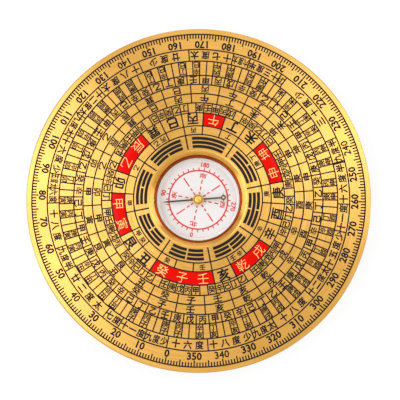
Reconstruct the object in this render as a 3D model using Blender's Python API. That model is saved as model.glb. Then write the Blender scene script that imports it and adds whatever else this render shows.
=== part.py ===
"""A feng shui compass: a turned brass dial plate with enamel inlays round a glazed needle capsule.

The plate lies flat with its face up, +Z. Its underside is at z = 0 and its axis is the Z axis.
A place on the face is given by its radius and its dial angle, which is counted in degrees clockwise
from the north mark, as the degree scale counts it. North is towards -Y, so south is towards +Y.
"""

import math

import bmesh
import bpy
from mathutils import Vector

MM = 0.001

# Running gaps and seats
SEAT_GAP = 0.05 * MM
CUP_GAP = 0.1 * MM
PIVOT_GAP = 0.04 * MM
CROWN_CLEARANCE = 0.26 * MM
POINT_CLEARANCE = 1.4 * MM

# How near two points of a mesh are to be one, and how far the pocket cutter stands out of the face
MERGE_DISTANCE = 0.0005 * MM
CUTTER_OVERRUN = 0.3 * MM

# Dial plate
PLATE_RADIUS = 43.0 * MM
PLATE_WEB = 0.9 * MM
PLATE_EDGE_CHAMFER = 0.3 * MM
PLATE_FOOT_CHAMFER = 0.4 * MM
WIRE_GROOVE_DEPTH = 0.2 * MM
GROOVE_LAND = 0.1 * MM
LIP_WIDTH = 1.4 * MM
LIP_DEPTH = 1.15 * MM

# The lip's profile from the bore to the face: a cone, then two short steps that round it over
LIP_SHARES = ((0.0, 0.0), (0.75, 0.92), (0.86, 0.98), (1.0, 1.0))

# Needle capsule, from the floor of its bore upwards
CUP_RADIUS = 10.85 * MM
CUP_WALL = 0.4 * MM
CUP_FLOOR = 0.5 * MM
CUP_CORNER = 0.75 * MM
CORNER_STEPS = 3
CARD_THICKNESS = 0.2 * MM
GASKET_THICKNESS = 0.2 * MM
CRYSTAL_THICKNESS = 0.9 * MM
CRYSTAL_CHAMFER = 0.15 * MM
WIRE_DIAMETER = 0.54 * MM
WIRE_SPLIT = 0.5 * MM
WIRE_SPLIT_ANGLE = 77.0

# Pivot: a brass boss through the card and the cup, with a steel pin pressed into it
BOSS_HEAD_RADIUS = 0.9 * MM
BOSS_HEAD_HEIGHT = 0.25 * MM
BOSS_SHANK_RADIUS = 0.55 * MM
PIN_RADIUS = 0.22 * MM
PIN_HEIGHT = 1.6 * MM
PIN_POINT = 0.7 * MM

# Needle, its brass hub and the jewel that turns on the pin
HUB_RADIUS = 1.36 * MM
HUB_BRIM = 0.15 * MM
HUB_SIDE = 0.5 * MM
HUB_CROWN_RADIUS = 1.12 * MM
HUB_ROOF = 0.35 * MM
HUB_SHANK_WALL = 0.2 * MM
HUB_FLANGE = 0.15 * MM
JEWEL_RADIUS = 0.5 * MM
JEWEL_ROOF = 0.3 * MM
JEWEL_CONE = 0.45 * MM
JEWEL_RIM = 0.12 * MM
NEEDLE_THICKNESS = 0.2 * MM
NEEDLE_WIDTH = 0.36 * MM
NEEDLE_TAPER = 1.3 * MM
NEEDLE_TAIL_SHARE = 0.71
NEEDLE_EYE_WALL = 0.2 * MM
TAIL_RING_RADIUS = 0.62 * MM
TAIL_RING_HOLE = 0.33 * MM
TAIL_PRONG = 0.46 * MM
TAIL_PRONG_WIDTH = 0.2 * MM
RING_STEPS = 20
NEEDLE_DIAL_ANGLE = 74.4

# The hub's crown from its top to the brim, as shares of its radius and of its height above the brim
CROWN_SHARES = ((0.0, 1.0), (0.45, 0.97), (0.72, 0.86), (0.82, 0.68), (1.0, 0.0))

# Enamel inlays, from the lip outwards
INLAY_DEPTH = 0.3 * MM
BAR_MARGIN = 0.31 * MM
BAR_WIDTH = 0.78 * MM
BAR_SPACING = 0.25 * MM
BAR_BREAK = 0.33 * MM
BAR_HALF_SPAN = 17.2
BAR_STEP = 5.8
PANEL_MARGIN = 2.8 * MM
PANEL_WIDTH = 3.2 * MM
SIGN_SPAN = 15.0
PANEL_STEP = 3.75

# Engraved circles: one between the trigrams and the panels, the rest from the panels to the edge
CIRCLE_WIDTH = 0.22 * MM
CIRCLE_DEPTH = 0.1 * MM
CIRCLE_MARGIN = 0.56 * MM
EDGE_LAND = 1.44 * MM
CIRCLE_SHARES = (0.128, 0.245, 0.362, 0.477, 0.659, 0.807, 1.0)

# How finely round shapes are cut
PLATE_SEGMENTS = 80
CAPSULE_SEGMENTS = 64
SMALL_SEGMENTS = 28
WIRE_SEGMENTS = 64
SMOOTH_ANGLE = 30.0

# The eight trigrams by dial angle, each with its three lines from the rim inwards, True where unbroken
TRIGRAMS = (
    ("north", 0.0, (False, False, False)),
    ("northeast", 45.0, (True, False, False)),
    ("east", 90.0, (True, False, True)),
    ("southeast", 135.0, (True, True, False)),
    ("south", 180.0, (True, True, True)),
    ("southwest", 225.0, (False, True, True)),
    ("west", 270.0, (False, True, False)),
    ("northwest", 315.0, (False, False, True)),
)
LINE_NAMES = ("outer", "middle", "inner")

# The red panels by dial angle of their middle, with the number of 15 degree signs that each covers
PANELS = (
    ("north", 0.0, 3),
    ("east_northeast", 67.5, 2),
    ("east_southeast", 112.5, 2),
    ("south", 180.0, 1),
    ("west_southwest", 232.5, 2),
    ("northwest", 307.5, 2),
)

# Heights, stacked up from the underside
BORE_FLOOR = PLATE_WEB
CUP_BOTTOM = BORE_FLOOR + CUP_GAP
CUP_INSIDE = CUP_BOTTOM + CUP_FLOOR
CARD_BOTTOM = CUP_INSIDE + SEAT_GAP
CARD_TOP = CARD_BOTTOM + CARD_THICKNESS
PIN_TIP = CARD_TOP + PIN_HEIGHT
JEWEL_APEX = PIN_TIP + PIVOT_GAP
JEWEL_TOP = JEWEL_APEX + JEWEL_ROOF
HUB_TOP = JEWEL_TOP + HUB_ROOF
CRYSTAL_BOTTOM = HUB_TOP + CROWN_CLEARANCE
GASKET_TOP = CRYSTAL_BOTTOM - SEAT_GAP
GASKET_BOTTOM = GASKET_TOP - GASKET_THICKNESS
CUP_TOP = GASKET_BOTTOM - SEAT_GAP
CRYSTAL_TOP = CRYSTAL_BOTTOM + CRYSTAL_THICKNESS
GROOVE_BOTTOM = CRYSTAL_TOP
WIRE_MIDDLE = GROOVE_BOTTOM + SEAT_GAP + WIRE_DIAMETER / 2
GROOVE_TOP = WIRE_MIDDLE + WIRE_DIAMETER / 2 + SEAT_GAP
LIP_BOTTOM = GROOVE_TOP + GROOVE_LAND
PLATE_TOP = LIP_BOTTOM + LIP_DEPTH

# Radii, stacked out from the axis
BORE_RADIUS = CUP_RADIUS + CUP_GAP
GROOVE_RADIUS = BORE_RADIUS + WIRE_GROOVE_DEPTH
WIRE_RADIUS = GROOVE_RADIUS - SEAT_GAP - WIRE_DIAMETER / 2
LIP_RADIUS = BORE_RADIUS + LIP_WIDTH
CUP_BORE_RADIUS = CUP_RADIUS - CUP_WALL
CARD_RADIUS = CUP_BORE_RADIUS - CUP_CORNER
NEEDLE_POINT = CUP_BORE_RADIUS - POINT_CLEARANCE
NEEDLE_TAIL = NEEDLE_POINT * NEEDLE_TAIL_SHARE
BARS_INNER = LIP_RADIUS + BAR_MARGIN
BARS_OUTER = BARS_INNER + 3 * BAR_WIDTH + 2 * BAR_SPACING
PANEL_INNER = BARS_OUTER + PANEL_MARGIN
PANEL_OUTER = PANEL_INNER + PANEL_WIDTH
OUTER_CIRCLE = PLATE_RADIUS - EDGE_LAND

# The moving pieces hang down from the jewel
JEWEL_BOTTOM = JEWEL_APEX - JEWEL_CONE
HUB_BORE_RADIUS = JEWEL_RADIUS + SEAT_GAP
HUB_BORE_TOP = JEWEL_TOP + SEAT_GAP
HUB_SHOULDER = JEWEL_TOP - HUB_SIDE
BRIM_TOP = HUB_SHOULDER + HUB_BRIM
HUB_SHANK_RADIUS = HUB_BORE_RADIUS + HUB_SHANK_WALL
NEEDLE_TOP = HUB_SHOULDER - SEAT_GAP
NEEDLE_BOTTOM = NEEDLE_TOP - NEEDLE_THICKNESS
FLANGE_TOP = NEEDLE_BOTTOM - SEAT_GAP
HUB_BOTTOM = FLANGE_TOP - HUB_FLANGE
EYE_HOLE_RADIUS = HUB_SHANK_RADIUS + SEAT_GAP
EYE_RADIUS = EYE_HOLE_RADIUS + NEEDLE_EYE_WALL

# What each piece is made of: base colour, metallic, roughness
FINISHES = {
    "satin_brass": ((0.83, 0.58, 0.20, 1.0), 1.0, 0.28),
    "white_enamel": ((0.86, 0.83, 0.83, 1.0), 0.0, 0.35),
    "printed_card": ((0.88, 0.85, 0.85, 1.0), 0.0, 0.55),
    "brown_rubber": ((0.10, 0.04, 0.03, 1.0), 0.0, 0.7),
    "mineral_glass": ((0.90, 0.95, 0.95, 0.25), 0.0, 0.03),
    "copper_wire": ((0.78, 0.24, 0.05, 1.0), 1.0, 0.22),
    "polished_brass": ((0.90, 0.64, 0.18, 1.0), 1.0, 0.15),
    "hard_steel": ((0.55, 0.55, 0.57, 1.0), 1.0, 0.2),
    "bronzed_steel": ((0.16, 0.12, 0.09, 1.0), 1.0, 0.3),
    "agate": ((0.45, 0.12, 0.08, 1.0), 0.0, 0.1),
    "black_enamel": ((0.02, 0.016, 0.02, 1.0), 0.0, 0.3),
    "red_enamel": ((0.80, 0.01, 0.005, 1.0), 0.0, 0.3),
}


def clear_scene():
    for obj in list(bpy.data.objects):
        bpy.data.objects.remove(obj, do_unlink=True)


def finish(name):
    """The named material, made the first time that it is asked for."""
    found = bpy.data.materials.get(name)
    if found:
        return found
    colour, metallic, roughness = FINISHES[name]
    made = bpy.data.materials.new(name)
    made.use_nodes = True
    shader = made.node_tree.nodes["Principled BSDF"]
    shader.inputs["Base Color"].default_value = colour
    shader.inputs["Metallic"].default_value = metallic
    shader.inputs["Roughness"].default_value = roughness
    shader.inputs["Alpha"].default_value = colour[3]
    return made


def place(name, data, material=None):
    """A new object of the scene that holds data."""
    obj = bpy.data.objects.new(name, data)
    bpy.context.scene.collection.objects.link(obj)
    if material:
        data.materials.append(finish(material))
    return obj


def mesh_object(name, bm, material=None):
    """bm as an object, closed at its poles, its faces pointing out, and shaded smooth where it is round."""
    bmesh.ops.remove_doubles(bm, verts=bm.verts, dist=MERGE_DISTANCE)
    bmesh.ops.recalc_face_normals(bm, faces=bm.faces)
    mesh = bpy.data.meshes.new(name)
    bm.to_mesh(mesh)
    bm.free()
    mesh.shade_smooth()
    mesh.set_sharp_from_angle(angle=math.radians(SMOOTH_ANGLE))
    return place(name, mesh, material)


def turned(name, profile, segments, material, ring=False):
    """A turned piece: profile is its (radius, height) points, run once round the Z axis.
    The profile runs from axis to axis, or is closed into a loop where the piece is a ring."""
    bm = bmesh.new()
    points = [bm.verts.new((radius, 0.0, height)) for radius, height in profile]
    ends = points[1:] + points[:1] if ring else points[1:]
    edges = [bm.edges.new(pair) for pair in zip(points, ends)]
    bmesh.ops.spin(
        bm,
        geom=points + edges,
        cent=(0, 0, 0),
        axis=(0, 0, 1),
        dvec=(0, 0, 0),
        angle=2 * math.pi,
        steps=segments,
        use_merge=True,
        use_duplicate=False,
    )
    return mesh_object(name, bm, material)


def quarter(centre, radius_across, radius_up, start, end, steps):
    """Points of an elliptical arc between two angles in degrees, both ends included."""
    angles = [start + (end - start) * k / steps for k in range(steps + 1)]
    return [
        (
            centre[0] + radius_across * math.cos(math.radians(a)),
            centre[1] + radius_up * math.sin(math.radians(a)),
        )
        for a in angles
    ]


def on_dial(radius, angle, height=0.0):
    """The place at a radius and a dial angle."""
    turn = math.radians(angle)
    return (-radius * math.sin(turn), -radius * math.cos(turn), height)


def add_arc_block(bm, inner, outer, start, end, step, bottom, top):
    """Adds to bm a closed block that follows the dial between two radii and two dial angles."""
    steps = max(1, round((end - start) / step))
    angles = [start + (end - start) * k / steps for k in range(steps + 1)]
    rim = [on_dial(outer, a, bottom) for a in angles]
    back = [on_dial(inner, a, bottom) for a in reversed(angles)]
    base = bm.faces.new([bm.verts.new(p) for p in rim + back])
    raised = bmesh.ops.extrude_face_region(bm, geom=[base], use_keep_orig=True)
    lifted = [v for v in raised["geom"] if isinstance(v, bmesh.types.BMVert)]
    bmesh.ops.translate(bm, verts=lifted, vec=Vector((0, 0, top - bottom)))


def trigram_bars():
    """(name, inner radius, outer radius, start, end) of each enamel bar of the eight trigrams."""
    bars = []
    for direction, middle, lines in TRIGRAMS:
        for k, (line, whole) in enumerate(zip(LINE_NAMES, lines)):
            outer = BARS_OUTER - k * (BAR_WIDTH + BAR_SPACING)
            inner = outer - BAR_WIDTH
            low, high = middle - BAR_HALF_SPAN, middle + BAR_HALF_SPAN
            name = f"trigram_{direction}_{line}"
            if whole:
                bars.append((name, inner, outer, low, high))
                continue
            half_break = math.degrees(BAR_BREAK / (inner + outer))
            bars.append((name + "_first", inner, outer, low, middle - half_break))
            bars.append((name + "_second", inner, outer, middle + half_break, high))
    return bars


def red_panels():
    """(name, inner radius, outer radius, start, end) of each red enamel panel."""
    return [
        (
            f"red_panel_{direction}",
            PANEL_INNER,
            PANEL_OUTER,
            middle - signs * SIGN_SPAN / 2,
            middle + signs * SIGN_SPAN / 2,
        )
        for direction, middle, signs in PANELS
    ]


def make_inlays(areas, step, material):
    """One enamel inlay for each area, a seat gap inside its pocket, its top level with the face."""
    for name, inner, outer, start, end in areas:
        side = math.degrees(SEAT_GAP / inner)
        bm = bmesh.new()
        add_arc_block(
            bm,
            inner + SEAT_GAP,
            outer - SEAT_GAP,
            start + side,
            end - side,
            step,
            PLATE_TOP - INLAY_DEPTH + SEAT_GAP,
            PLATE_TOP,
        )
        mesh_object(name, bm, material)


def make_pocket_cutter(bars, panels):
    """The helper that etches the pockets for the inlays into the plate's face."""
    bm = bmesh.new()
    for areas, step in ((bars, BAR_STEP), (panels, PANEL_STEP)):
        for _, inner, outer, start, end in areas:
            add_arc_block(
                bm,
                inner,
                outer,
                start,
                end,
                step,
                PLATE_TOP - INLAY_DEPTH,
                PLATE_TOP + CUTTER_OVERRUN,
            )
    cutter = mesh_object("pocket_cutter", bm)
    cutter.hide_render = True
    cutter.display_type = "WIRE"
    return cutter


def circle_radii():
    """The radius of each engraved circle, from the trigrams out to the degree scale."""
    span = OUTER_CIRCLE - PANEL_OUTER
    outside = [PANEL_OUTER + share * span for share in CIRCLE_SHARES]
    return [BARS_OUTER + CIRCLE_MARGIN, *outside]


def engraved_face():
    """The profile of the face from the trigrams outwards, with a V-shaped groove for each circle."""
    half = CIRCLE_WIDTH / 2
    points = []
    for radius in circle_radii():
        points.append((radius - half, PLATE_TOP))
        points.append((radius, PLATE_TOP - CIRCLE_DEPTH))
        points.append((radius + half, PLATE_TOP))
    return points


def make_dial_plate(bars, panels):
    """The brass disc: a blind bore with a wire groove, a bevelled lip, an engraved face and a turned edge."""
    lip = [
        (BORE_RADIUS + across * LIP_WIDTH, LIP_BOTTOM + up * LIP_DEPTH)
        for across, up in LIP_SHARES
    ]
    profile = [
        (0.0, BORE_FLOOR),
        (BORE_RADIUS, BORE_FLOOR),
        (BORE_RADIUS, GROOVE_BOTTOM),
        (GROOVE_RADIUS, GROOVE_BOTTOM),
        (GROOVE_RADIUS, GROOVE_TOP),
        (BORE_RADIUS, GROOVE_TOP),
        *lip,
        *engraved_face(),
        (PLATE_RADIUS - PLATE_EDGE_CHAMFER, PLATE_TOP),
        (PLATE_RADIUS, PLATE_TOP - PLATE_EDGE_CHAMFER),
        (PLATE_RADIUS, PLATE_FOOT_CHAMFER),
        (PLATE_RADIUS - PLATE_FOOT_CHAMFER, 0.0),
        (0.0, 0.0),
    ]
    plate = turned("dial_plate", profile, PLATE_SEGMENTS, "satin_brass")
    etch = plate.modifiers.new("etched_pockets", "BOOLEAN")
    etch.operation = "DIFFERENCE"
    etch.solver = "EXACT"
    etch.object = make_pocket_cutter(bars, panels)
    return plate


def make_capsule():
    """The white cup with its printed card, the gasket, the crystal and the wire ring that holds them."""
    hole = BOSS_SHANK_RADIUS + SEAT_GAP
    corner = quarter(
        (CARD_RADIUS, CUP_INSIDE + CUP_CORNER),
        CUP_CORNER,
        CUP_CORNER,
        270,
        360,
        CORNER_STEPS,
    )
    cup = [
        (hole, CUP_BOTTOM),
        (CUP_RADIUS, CUP_BOTTOM),
        (CUP_RADIUS, CUP_TOP),
        (CUP_BORE_RADIUS, CUP_TOP),
        *reversed(corner),
        (hole, CUP_INSIDE),
    ]
    turned("capsule_cup", cup, CAPSULE_SEGMENTS, "white_enamel", ring=True)
    card = [
        (hole, CARD_BOTTOM),
        (CARD_RADIUS, CARD_BOTTOM),
        (CARD_RADIUS, CARD_TOP),
        (hole, CARD_TOP),
    ]
    turned("dial_card", card, CAPSULE_SEGMENTS, "printed_card", ring=True)
    gasket = [
        (CUP_BORE_RADIUS, GASKET_BOTTOM),
        (CUP_RADIUS, GASKET_BOTTOM),
        (CUP_RADIUS, GASKET_TOP),
        (CUP_BORE_RADIUS, GASKET_TOP),
    ]
    turned("crystal_gasket", gasket, CAPSULE_SEGMENTS, "brown_rubber", ring=True)
    crystal = [
        (0.0, CRYSTAL_BOTTOM),
        (CUP_RADIUS, CRYSTAL_BOTTOM),
        (CUP_RADIUS, CRYSTAL_TOP - CRYSTAL_CHAMFER),
        (CUP_RADIUS - CRYSTAL_CHAMFER, CRYSTAL_TOP),
        (0.0, CRYSTAL_TOP),
    ]
    turned("crystal", crystal, CAPSULE_SEGMENTS, "mineral_glass")


def make_wire_ring():
    """The split copper ring that snaps into the groove above the crystal."""
    half_split = math.degrees(WIRE_SPLIT / WIRE_RADIUS) / 2
    start = WIRE_SPLIT_ANGLE + half_split
    turn = 360.0 - 2 * half_split
    path = bpy.data.curves.new("wire_ring", "CURVE")
    path.dimensions = "3D"
    path.bevel_depth = WIRE_DIAMETER / 2
    path.bevel_resolution = 2
    path.use_fill_caps = True
    spline = path.splines.new("POLY")
    spline.points.add(WIRE_SEGMENTS)
    for k, point in enumerate(spline.points):
        angle = start + turn * k / WIRE_SEGMENTS
        point.co = (*on_dial(WIRE_RADIUS, angle, WIRE_MIDDLE), 1.0)
    return place("wire_ring", path, "copper_wire")


def make_pivot():
    """The boss riveted through the card and the cup, and the pin that stands in it."""
    bore = PIN_RADIUS + SEAT_GAP
    boss = [
        (bore, CUP_BOTTOM),
        (BOSS_SHANK_RADIUS, CUP_BOTTOM),
        (BOSS_SHANK_RADIUS, CARD_TOP + SEAT_GAP),
        (BOSS_HEAD_RADIUS, CARD_TOP + SEAT_GAP),
        (BOSS_HEAD_RADIUS, CARD_TOP + BOSS_HEAD_HEIGHT),
        (bore, CARD_TOP + BOSS_HEAD_HEIGHT),
    ]
    turned("pivot_boss", boss, SMALL_SEGMENTS, "polished_brass", ring=True)
    pin = [
        (0.0, CUP_BOTTOM),
        (PIN_RADIUS, CUP_BOTTOM),
        (PIN_RADIUS, PIN_TIP - PIN_POINT),
        (0.0, PIN_TIP),
    ]
    turned("pivot_pin", pin, SMALL_SEGMENTS, "hard_steel")


def make_hub():
    """The crowned brass cap whose shank is riveted through the needle's eye, and the jewel inside it."""
    crown = [
        (across * HUB_CROWN_RADIUS, BRIM_TOP + up * (HUB_TOP - BRIM_TOP))
        for across, up in CROWN_SHARES
    ]
    hub = [
        *crown,
        (HUB_RADIUS, BRIM_TOP),
        (HUB_RADIUS, HUB_SHOULDER),
        (HUB_SHANK_RADIUS, HUB_SHOULDER),
        (HUB_SHANK_RADIUS, FLANGE_TOP),
        (EYE_RADIUS, FLANGE_TOP),
        (EYE_RADIUS, HUB_BOTTOM),
        (HUB_BORE_RADIUS, HUB_BOTTOM),
        (HUB_BORE_RADIUS, HUB_BORE_TOP),
        (0.0, HUB_BORE_TOP),
    ]
    jewel = [
        (0.0, JEWEL_TOP),
        (JEWEL_RADIUS, JEWEL_TOP),
        (JEWEL_RADIUS, JEWEL_BOTTOM),
        (JEWEL_RADIUS - JEWEL_RIM, JEWEL_BOTTOM),
        (0.0, JEWEL_APEX),
    ]
    return (
        turned("needle_hub", hub, SMALL_SEGMENTS, "polished_brass"),
        turned("jewel_bearing", jewel, SMALL_SEGMENTS, "agate"),
    )


def round_arc(centre, radius, start, end, steps):
    """Points round a circle between two angles in degrees, both ends included."""
    return quarter((centre, 0.0), radius, radius, start, end, steps)


def needle_side():
    """The needle's outline on one side of its axis, from the point, at +X, back to the tail ring."""
    half = NEEDLE_WIDTH / 2
    at_eye = math.degrees(math.asin(half / EYE_RADIUS))
    at_ring = math.degrees(math.asin(half / TAIL_RING_RADIUS))
    at_prong = math.degrees(math.asin(TAIL_PRONG_WIDTH / 2 / TAIL_RING_RADIUS))
    ring_reach = TAIL_RING_RADIUS + TAIL_PRONG
    return [
        (NEEDLE_POINT, 0.0),
        (NEEDLE_POINT - NEEDLE_TAPER, half),
        *round_arc(0.0, EYE_RADIUS, at_eye, 180 - at_eye, RING_STEPS // 2),
        *round_arc(-NEEDLE_TAIL, TAIL_RING_RADIUS, at_ring, 90 - at_prong, RING_STEPS // 4),
        (-NEEDLE_TAIL, ring_reach),
        *round_arc(-NEEDLE_TAIL, TAIL_RING_RADIUS, 90 + at_prong, 180, RING_STEPS // 4),
    ]


def make_needle():
    """The flat steel needle: a long tapered point, an eye for the hub, and a pronged ring on its tail."""
    side = needle_side()
    outline = side + [(x, -y) for x, y in reversed(side[1:-1])]
    eye = round_arc(0.0, EYE_HOLE_RADIUS, 0, 360, SMALL_SEGMENTS)[:-1]
    hole = round_arc(-NEEDLE_TAIL, TAIL_RING_HOLE, 0, 360, RING_STEPS)[:-1]
    shape = bpy.data.curves.new("needle", "CURVE")
    shape.dimensions = "2D"
    shape.fill_mode = "BOTH"
    shape.extrude = NEEDLE_THICKNESS / 2
    for loop in (outline, eye, hole):
        spline = shape.splines.new("POLY")
        spline.points.add(len(loop) - 1)
        spline.use_cyclic_u = True
        for point, (x, y) in zip(spline.points, loop):
            point.co = (x, y, 0.0, 1.0)
    needle = place("needle", shape, "bronzed_steel")
    needle.location = (0.0, 0.0, (NEEDLE_TOP + NEEDLE_BOTTOM) / 2)
    return needle


def hang_on_pivot(pieces):
    """The needle's pieces turn together about the pin, so they hang from an empty on its axis."""
    pivot = bpy.data.objects.new("needle_pivot", None)
    bpy.context.scene.collection.objects.link(pivot)
    pivot.rotation_euler = (0.0, 0.0, math.radians(-90.0 - NEEDLE_DIAL_ANGLE))
    for piece in pieces:
        piece.parent = pivot


def main():
    clear_scene()
    bars = trigram_bars()
    panels = red_panels()
    make_dial_plate(bars, panels)
    make_inlays(bars, BAR_STEP, "black_enamel")
    make_inlays(panels, PANEL_STEP, "red_enamel")
    make_capsule()
    make_wire_ring()
    make_pivot()
    hub, jewel = make_hub()
    hang_on_pivot((hub, jewel, make_needle()))


main()
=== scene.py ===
"""The looks of a turned brass feng shui compass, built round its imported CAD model.

The plate lies face up on the floor, with its axis on the Z axis and its north mark towards -Y.
A place on the face is given by its radius and its dial angle, which is counted in degrees clockwise
from the north mark, as the degree scale counts it.
"""

import math

import bpy
from mathutils import Matrix, Vector


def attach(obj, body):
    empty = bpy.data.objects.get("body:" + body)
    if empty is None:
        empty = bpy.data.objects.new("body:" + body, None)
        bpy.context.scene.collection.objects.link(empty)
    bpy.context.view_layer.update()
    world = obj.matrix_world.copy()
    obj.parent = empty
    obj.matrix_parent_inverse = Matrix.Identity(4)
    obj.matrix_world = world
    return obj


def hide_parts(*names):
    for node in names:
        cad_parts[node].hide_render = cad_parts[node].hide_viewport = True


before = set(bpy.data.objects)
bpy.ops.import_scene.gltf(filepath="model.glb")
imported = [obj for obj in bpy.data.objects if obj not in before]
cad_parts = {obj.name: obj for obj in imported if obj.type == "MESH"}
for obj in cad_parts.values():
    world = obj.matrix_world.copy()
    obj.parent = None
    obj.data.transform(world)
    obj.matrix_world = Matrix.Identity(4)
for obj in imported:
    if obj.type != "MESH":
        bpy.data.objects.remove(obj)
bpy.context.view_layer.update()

MM = 0.001

# Dial plate
PLATE_RADIUS = 43.0 * MM
PLATE_TOP = 7.09 * MM
BORE_FLOOR = 0.9 * MM
BORE_RADIUS = 10.95 * MM
GROOVE_RADIUS = 11.15 * MM
GROOVE_BOTTOM = 5.2 * MM
GROOVE_TOP = 5.84 * MM
LIP_BOTTOM = 5.94 * MM
LIP_INNER = 11.05 * MM
LIP_RADIUS = 12.35 * MM
EDGE_CHAMFER = 0.3 * MM
FOOT_CHAMFER = 0.4 * MM
POCKET_DEPTH = 0.3 * MM

# The lip's rise and the edge's chamfer, in shares of their width and their height
LIP_SHARES = (
    (0.0, 0.0), (0.0, 0.057), (0.269, 0.433), (0.462, 0.658),
    (0.654, 0.847), (0.762, 0.926), (0.862, 0.972), (1.0, 1.0),
)
CHAMFER_SHARES = ((1.0, 0.0), (0.9, 0.06), (0.06, 0.9), (0.0, 1.0))

# Enamel inlays
SEAT_GAP = 0.05 * MM
BARS_INNER = 12.66 * MM
BAR_WIDTH = 0.78 * MM
BAR_SPACING = 0.25 * MM
BAR_BREAK = 0.33 * MM
BAR_HALF_SPAN = 17.2
PANEL_INNER = 18.3 * MM
PANEL_OUTER = 21.5 * MM
PANEL_SINK = 0.05 * MM
ENAMEL_ROUND = 0.04 * MM

# Rings of the face: the radius in millimetres of the engraved circle outside each, and of the circles
# that are only printed
TRIGRAMS_OUT = 16.06
CELLS_72_OUT = 24.07
FIRST_24_OUT = 26.41
SECOND_24_OUT = 28.76
CELLS_60_OUT = 31.07
PAIRS_OUT = 34.72
UNEVEN_OUT = 37.69
SCALE_OUT = 41.56
LINE_CIRCLES = (
    TRIGRAMS_OUT, CELLS_72_OUT, FIRST_24_OUT, SECOND_24_OUT,
    CELLS_60_OUT, PAIRS_OUT, UNEVEN_OUT, SCALE_OUT,
)
PRINTED_CIRCLES = (18.24, 21.56)
LINE_WIDTH = 0.34 * MM
LINE_DEPTH = 0.1 * MM
LINE_FLOOR_SHARE = 0.6
PRINTED_WIDTH_SHARE = 0.85

# Signs of each ring: width, height and middle radius in millimetres
DEGREE_FIGURE = (1.72, 1.7, 38.92)
UNEVEN_SIGN = (2.1, 2.15, 36.2)
PAIR_BRANCH = (1.6, 1.7, 33.75)
PAIR_STEM = (1.5, 1.65, 32.05)
CELL_60_SIGN = (2.05, 2.05, 29.92)
SECOND_24_SIGN = (2.25, 1.95, 27.58)
FIRST_24_SIGN = (2.25, 1.95, 25.24)
CELL_72_SIGN = (1.75, 1.95, 22.8)
DIRECTION_SIGN = (3.05, 3.0, 19.95)
INNER_SIGN = (1.5, 1.5, 17.15)
CARD_FIGURE = (1.1, 1.1, 9.07)
CARD_SIGN = (1.9, 1.35, 6.3)

# How far paint stands proud of its ground and reaches into it
PAINT_RISE = 0.02 * MM
PAINT_DEPTH = 0.05 * MM
LINE_FILL_SINK = 0.02 * MM
PRINT_DEPTH = 0.04 * MM

# Painted marks: radii and widths in millimetres
SHORT_TICK_START = 40.45
LONG_TICK_START = 39.95
TICK_WIDTH = 0.33
DIVIDER_WIDTH = 0.31
BETWEEN_START = 12.42
BETWEEN_WIDTH = 0.36
CARD_CIRCLE = 7.51
CARD_CIRCLE_WIDTH = 0.38
CARD_TICK = (7.6, 8.3)
CARD_TICK_WIDTH = 0.27
STRAIGHT_RAY = ((1.48, 2.05), (2.56, 3.48), (4.18, 5.23))
SLANTING_RAY = ((1.48, 2.3), (2.7, 3.5), (4.1, 6.7))
CARD_RAY_WIDTH = 0.32

# Needle capsule
CUP_BOTTOM = 1.0 * MM
CUP_INSIDE = 1.5 * MM
CUP_TOP = 4.0 * MM
CUP_RADIUS = 10.85 * MM
CUP_BORE = 10.45 * MM
CUP_CORNER = 0.75 * MM
CUP_FOOT_CHAMFER = 0.1 * MM
CUP_RIM_CHAMFER = 0.05 * MM
CARD_BOTTOM = 1.55 * MM
CARD_TOP = 1.75 * MM
CARD_RADIUS = 9.7 * MM
CARD_HOLE = 0.6 * MM
CARD_EDGE = 0.04 * MM
CRYSTAL_BOTTOM = 4.3 * MM
CRYSTAL_TOP = 5.2 * MM
CRYSTAL_CHAMFER = 0.15 * MM
WIRE_RADIUS = 10.83 * MM
WIRE_THICK = 0.54 * MM
WIRE_MIDDLE = 5.52 * MM
WIRE_SPLIT = 0.5 * MM
WIRE_SPLIT_ANGLE = 77.0

# Needle and its hub
HUB_RADIUS = 1.36 * MM
HUB_CROWN_RADIUS = 1.12 * MM
HUB_TOP = 4.04 * MM
BRIM_TOP = 3.34 * MM
HUB_SHOULDER = 3.19 * MM
BRIM_ROUND = 0.03 * MM
HUB_SHANK_RADIUS = 0.75 * MM
HUB_BORE_RADIUS = 0.55 * MM
HUB_BORE_TOP = 3.69 * MM
EYE_RADIUS = 1.0 * MM
FLANGE_TOP = 2.89 * MM
HUB_BOTTOM = 2.74 * MM
NEEDLE_DIAL_ANGLE = 74.4
NEEDLE_EDGE = 0.03 * MM
NEEDLE_BLACKING = 0.035 * MM

# The crown's outline from its middle down to the brim, in shares of its radius and its height
CROWN_SHARES = (
    (0.05, 1.0), (0.25, 0.993), (0.45, 0.97), (0.58, 0.935), (0.66, 0.9), (0.72, 0.855),
    (0.77, 0.785), (0.82, 0.68), (0.88, 0.465), (0.94, 0.235), (0.985, 0.05), (1.02, 0.0),
)

# How finely the round pieces are turned
PLATE_SEGMENTS = 288
CAPSULE_SEGMENTS = 128
SMALL_SEGMENTS = 48
WIRE_SEGMENTS = 20
WIRE_STEPS = 180
CORNER_STEPS = 10
ARC_STEP = 1.5
SMOOTH_ANGLE = 30.0
FLAT_ANGLE = 2.0
MERGE_DISTANCE = 0.0002 * MM

# The eight trigrams by dial angle, their lines from the rim inwards, True where unbroken
TRIGRAMS = (
    ("north", 0.0, (False, False, False)),
    ("northeast", 45.0, (True, False, False)),
    ("east", 90.0, (True, False, True)),
    ("southeast", 135.0, (True, True, False)),
    ("south", 180.0, (True, True, True)),
    ("southwest", 225.0, (False, True, True)),
    ("west", 270.0, (False, True, False)),
    ("northwest", 315.0, (False, False, True)),
)
LINE_NAMES = ("outer", "middle", "inner")
TRIGRAM_SPAN = 45.0

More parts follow.
